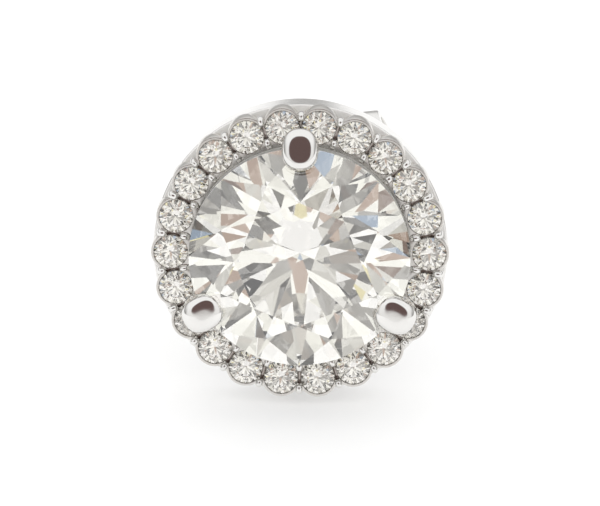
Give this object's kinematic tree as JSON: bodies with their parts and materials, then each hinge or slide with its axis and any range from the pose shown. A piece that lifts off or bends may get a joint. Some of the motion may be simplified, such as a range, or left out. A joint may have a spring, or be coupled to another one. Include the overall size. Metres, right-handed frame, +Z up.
{
  "type": "stud earring",
  "caption": "Round halo stud earring with a large brilliant held by prongs, a ring of small brilliants, a straight post and a pull-off butterfly clutch.",
  "frame": {"origin": "centre of the footprint on the surface that the earring rests on", "axes": "+Z up; the stones face -Y and lean back a little, with the post running toward +Y and down; +X is to the right as seen from the front"},
  "size_m": [0.0088, 0.0148, 0.0088],
  "materials": {
    "white_gold": "polished",
    "diamond": "polished facets"
  },
  "bodies": {
    "stud": {"setting_with_post": "white_gold", "centre_stone": "diamond", "halo_stone_01": "diamond", "halo_stone_02": "diamond", "halo_stone_03": "diamond", "halo_stone_04": "diamond", "halo_stone_05": "diamond", "halo_stone_06": "diamond", "halo_stone_07": "diamond", "halo_stone_08": "diamond", "halo_stone_09": "diamond", "halo_stone_10": "diamond", "halo_stone_11": "diamond", "halo_stone_12": "diamond", "halo_stone_13": "diamond", "halo_stone_14": "diamond", "halo_stone_15": "diamond", "halo_stone_16": "diamond", "halo_stone_17": "diamond", "halo_stone_18": "diamond", "halo_stone_19": "diamond", "halo_stone_20": "diamond", "halo_stone_21": "diamond", "halo_stone_22": "diamond"},
    "clutch": {"butterfly_clutch": "white_gold"}
  },
  "joints": [
    {"name": "clutch_slide", "type": "slide", "parent": "stud", "child": "clutch", "axis": [0, 0.977, -0.2133], "range_m": [-0.0041, 0.006]}
  ]
}
